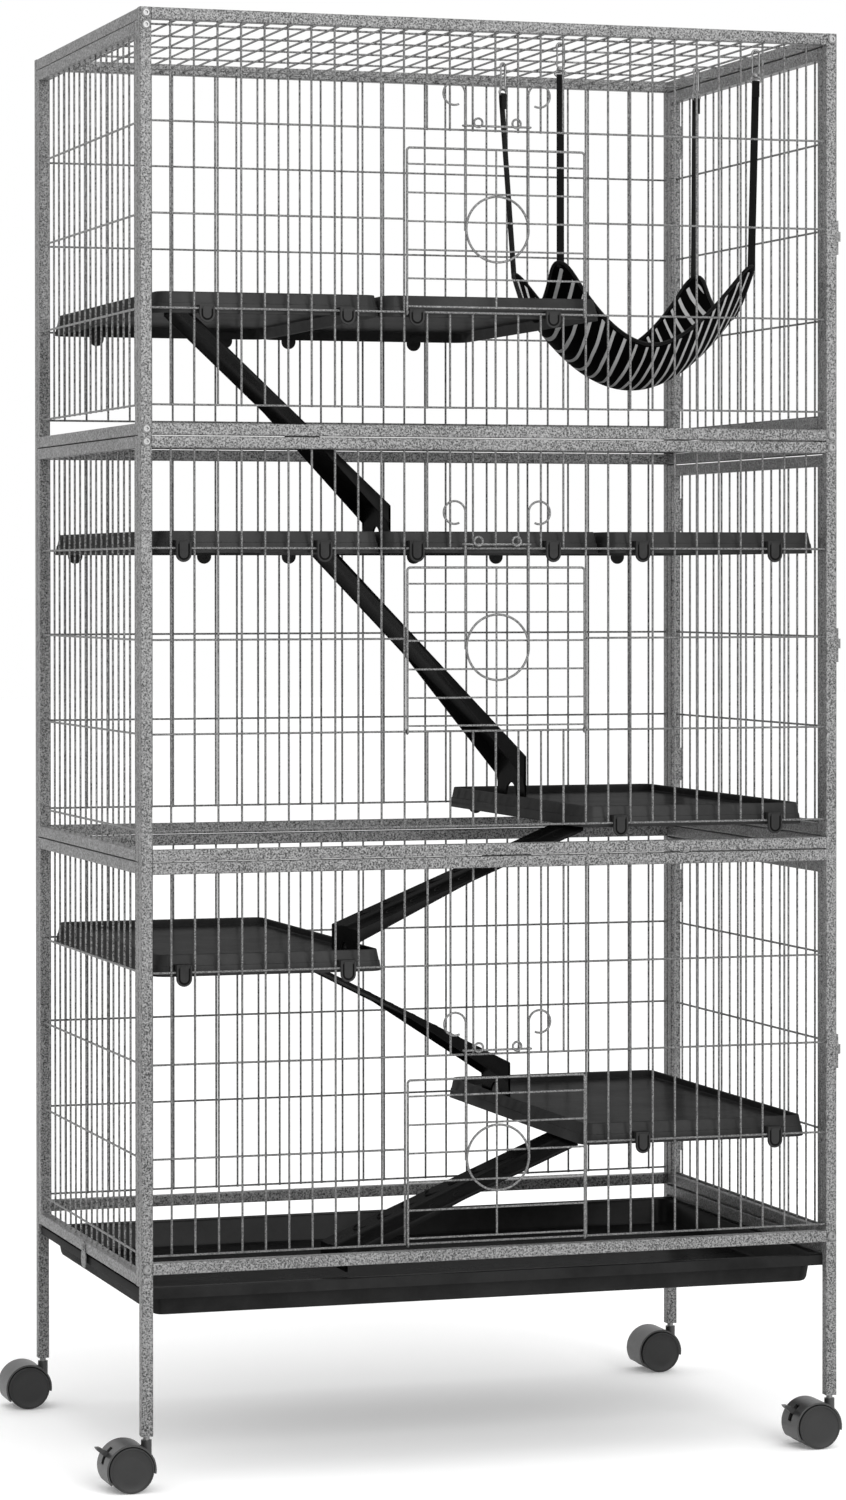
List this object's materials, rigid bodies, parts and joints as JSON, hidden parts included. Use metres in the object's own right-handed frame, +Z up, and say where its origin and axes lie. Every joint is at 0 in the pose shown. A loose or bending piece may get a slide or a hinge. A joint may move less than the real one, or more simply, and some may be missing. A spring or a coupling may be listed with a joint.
{
  "type": "small animal cage",
  "caption": "Tall wheeled wire cage for small animals with shelves, ramps, drop-down front doors, swing side doors, a hammock and a pull-out tray.",
  "frame": {"origin": "centre of the bounding box at floor level, under the cage and its trailing casters", "axes": "+Z up, -Y towards the front with the drop-down doors, +X towards the swing doors at the right side"},
  "size_m": [0.8578, 0.5512, 1.578],
  "materials": {
    "coated_steel": "hammered grey powder coat",
    "door_wire": "hammered grey powder coat on wire",
    "plated_steel": "bright zinc plate",
    "latch_steel": "zinc plate",
    "shelf_plastic": "fine grained moulded plastic",
    "tray_plastic": "fine grained moulded plastic",
    "hood_plastic": "satin moulded plastic",
    "wheel_plastic": "matt moulded plastic",
    "cloth": "woven cloth with diagonal light stripes",
    "webbing": "woven webbing"
  },
  "bodies": {
    "cage": {"post_front_left": "coated_steel", "post_front_right": "coated_steel", "post_rear_left": "coated_steel", "post_rear_right": "coated_steel", "roof_panel": "coated_steel", "left_panel_top": "coated_steel", "left_panel_middle": "coated_steel", "left_panel_bottom": "coated_steel", "rear_panel_top": "coated_steel", "rear_panel_middle": "coated_steel", "rear_panel_bottom": "coated_steel", "front_mesh_top": "coated_steel", "front_mesh_middle": "coated_steel", "front_mesh_bottom": "coated_steel", "front_rails": "coated_steel", "side_rails": "coated_steel", "tray_runners": "tray_plastic", "side_door_hardware": "coated_steel", "shelf_1_left": "shelf_plastic", "shelf_1_centre": "shelf_plastic", "shelf_2_left": "shelf_plastic", "shelf_2_centre": "shelf_plastic", "shelf_2_right": "shelf_plastic", "shelf_3_right": "shelf_plastic", "shelf_4_left": "shelf_plastic", "shelf_5_right": "shelf_plastic", "ramp_1": "shelf_plastic", "ramp_2": "shelf_plastic", "ramp_3": "shelf_plastic", "ramp_4": "shelf_plastic", "ramp_5": "shelf_plastic", "hammock_cloth": "cloth", "hammock_straps": "webbing", "hammock_clips": "plated_steel", "frame_bolts": "plated_steel", "caster_stems": "plated_steel"},
    "caster_fl": {"caster_hood_fl": "hood_plastic"},
    "wheels_fl": {"caster_wheels_fl": "wheel_plastic"},
    "caster_fr": {"caster_hood_fr": "hood_plastic"},
    "wheels_fr": {"caster_wheels_fr": "wheel_plastic"},
    "caster_rl": {"caster_hood_rl": "hood_plastic"},
    "wheels_rl": {"caster_wheels_rl": "wheel_plastic"},
    "caster_rr": {"caster_hood_rr": "hood_plastic"},
    "wheels_rr": {"caster_wheels_rr": "wheel_plastic"},
    "brake_fl": {"caster_brake_fl": "hood_plastic"},
    "brake_fr": {"caster_brake_fr": "hood_plastic"},
    "side_door_top": {"side_door_top": "coated_steel"},
    "latch_top": {"latch_knob_top": "latch_steel"},
    "front_door_top": {"front_door_top": "door_wire"},
    "lock_bar_top": {"lock_bar_top": "door_wire"},
    "side_door_middle": {"side_door_middle": "coated_steel"},
    "latch_middle": {"latch_knob_middle": "latch_steel"},
    "front_door_middle": {"front_door_middle": "door_wire"},
    "lock_bar_middle": {"lock_bar_middle": "door_wire"},
    "side_door_bottom": {"side_door_bottom": "coated_steel"},
    "latch_bottom": {"latch_knob_bottom": "latch_steel"},
    "front_door_bottom": {"front_door_bottom": "door_wire"},
    "lock_bar_bottom": {"lock_bar_bottom": "door_wire"},
    "tray": {"tray": "tray_plastic"},
    "tray_lock": {"tray_lock_tab": "coated_steel"}
  },
  "joints": [
    {"name": "swivel_fl", "type": "hinge", "parent": "cage", "child": "caster_fl", "pos_m": [-0.37267, -0.25065, 0.045], "axis": [0, 0, 1], "continuous": true},
    {"name": "roll_fl", "type": "hinge", "parent": "caster_fl", "child": "wheels_fl", "pos_m": [-0.39407, -0.25065, 0.0244], "axis": [0, 1, 0], "continuous": true},
    {"name": "swivel_fr", "type": "hinge", "parent": "cage", "child": "caster_fr", "pos_m": [0.41463, -0.25065, 0.045], "axis": [0, 0, 1], "continuous": true},
    {"name": "roll_fr", "type": "hinge", "parent": "caster_fr", "child": "wheels_fr", "pos_m": [0.39323, -0.25065, 0.0244], "axis": [0, 1, 0], "continuous": true},
    {"name": "swivel_rl", "type": "hinge", "parent": "cage", "child": "caster_rl", "pos_m": [-0.37267, 0.25065, 0.045], "axis": [0, 0, 1], "continuous": true},
    {"name": "roll_rl", "type": "hinge", "parent": "caster_rl", "child": "wheels_rl", "pos_m": [-0.39407, 0.25065, 0.0244], "axis": [0, 1, 0], "continuous": true},
    {"name": "swivel_rr", "type": "hinge", "parent": "cage", "child": "caster_rr", "pos_m": [0.41463, 0.25065, 0.045], "axis": [0, 0, 1], "continuous": true},
    {"name": "roll_rr", "type": "hinge", "parent": "caster_rr", "child": "wheels_rr", "pos_m": [0.39323, 0.25065, 0.0244], "axis": [0, 1, 0], "continuous": true},
    {"name": "brake_pedal_fl", "type": "hinge", "parent": "caster_fl", "child": "brake_fl", "pos_m": [-0.41126, -0.25065, 0.03556], "axis": [0, -1, 0], "range_deg": [0, 14]},
    {"name": "brake_pedal_fr", "type": "hinge", "parent": "caster_fr", "child": "brake_fr", "pos_m": [0.37604, -0.25065, 0.03556], "axis": [0, -1, 0], "range_deg": [0, 14]},
    {"name": "side_door_swing_top", "type": "hinge", "parent": "cage", "child": "side_door_top", "pos_m": [0.42448, 0.2438, 1.35075], "axis": [0, 0, 1], "range_deg": [0, 120]},
    {"name": "latch_turn_top", "type": "hinge", "parent": "cage", "child": "latch_top", "pos_m": [0.42498, -0.2475, 1.35075], "axis": [-1, 0, 0], "range_deg": [0, 90]},
    {"name": "front_door_drop_top", "type": "hinge", "parent": "cage", "child": "front_door_top", "pos_m": [0.02098, -0.25265, 1.2592], "axis": [1, 0, 0], "range_deg": [0, 118]},
    {"name": "lock_bar_lift_top", "type": "slide", "parent": "front_door_top", "child": "lock_bar_top", "axis": [0, 0, 1], "range_m": [0, 0.03]},
    {"name": "side_door_swing_middle", "type": "hinge", "parent": "cage", "child": "side_door_middle", "pos_m": [0.42448, 0.2438, 0.8955], "axis": [0, 0, 1], "range_deg": [0, 120]},
    {"name": "latch_turn_middle", "type": "hinge", "parent": "cage", "child": "latch_middle", "pos_m": [0.42498, -0.2475, 0.8955], "axis": [-1, 0, 0], "range_deg": [0, 90]},
    {"name": "front_door_drop_middle", "type": "hinge", "parent": "cage", "child": "front_door_middle", "pos_m": [0.02098, -0.25265, 0.8042], "axis": [1, 0, 0], "range_deg": [0, 165]},
    {"name": "lock_bar_lift_middle", "type": "slide", "parent": "front_door_middle", "child": "lock_bar_middle", "axis": [0, 0, 1], "range_m": [0, 0.03]},
    {"name": "side_door_swing_bottom", "type": "hinge", "parent": "cage", "child": "side_door_bottom", "pos_m": [0.42448, 0.2438, 0.441], "axis": [0, 0, 1], "range_deg": [0, 120]},
    {"name": "latch_turn_bottom", "type": "hinge", "parent": "cage", "child": "latch_bottom", "pos_m": [0.42498, -0.2475, 0.441], "axis": [-1, 0, 0], "range_deg": [0, 90]},
    {"name": "front_door_drop_bottom", "type": "hinge", "parent": "cage", "child": "front_door_bottom", "pos_m": [0.02098, -0.25265, 0.2475], "axis": [1, 0, 0], "range_deg": [0, 118]},
    {"name": "lock_bar_lift_bottom", "type": "slide", "parent": "front_door_bottom", "child": "lock_bar_bottom", "axis": [0, 0, 1], "range_m": [0, 0.025]},
    {"name": "tray_slide", "type": "slide", "parent": "cage", "child": "tray", "axis": [1, 0, 0], "range_m": [0, 0.7]},
    {"name": "tray_lock_swing", "type": "hinge", "parent": "cage", "child": "tray_lock", "pos_m": [-0.37902, 0.009, 0.22085], "axis": [1, 0, 0], "range_deg": [-105, 105]}
  ]
}
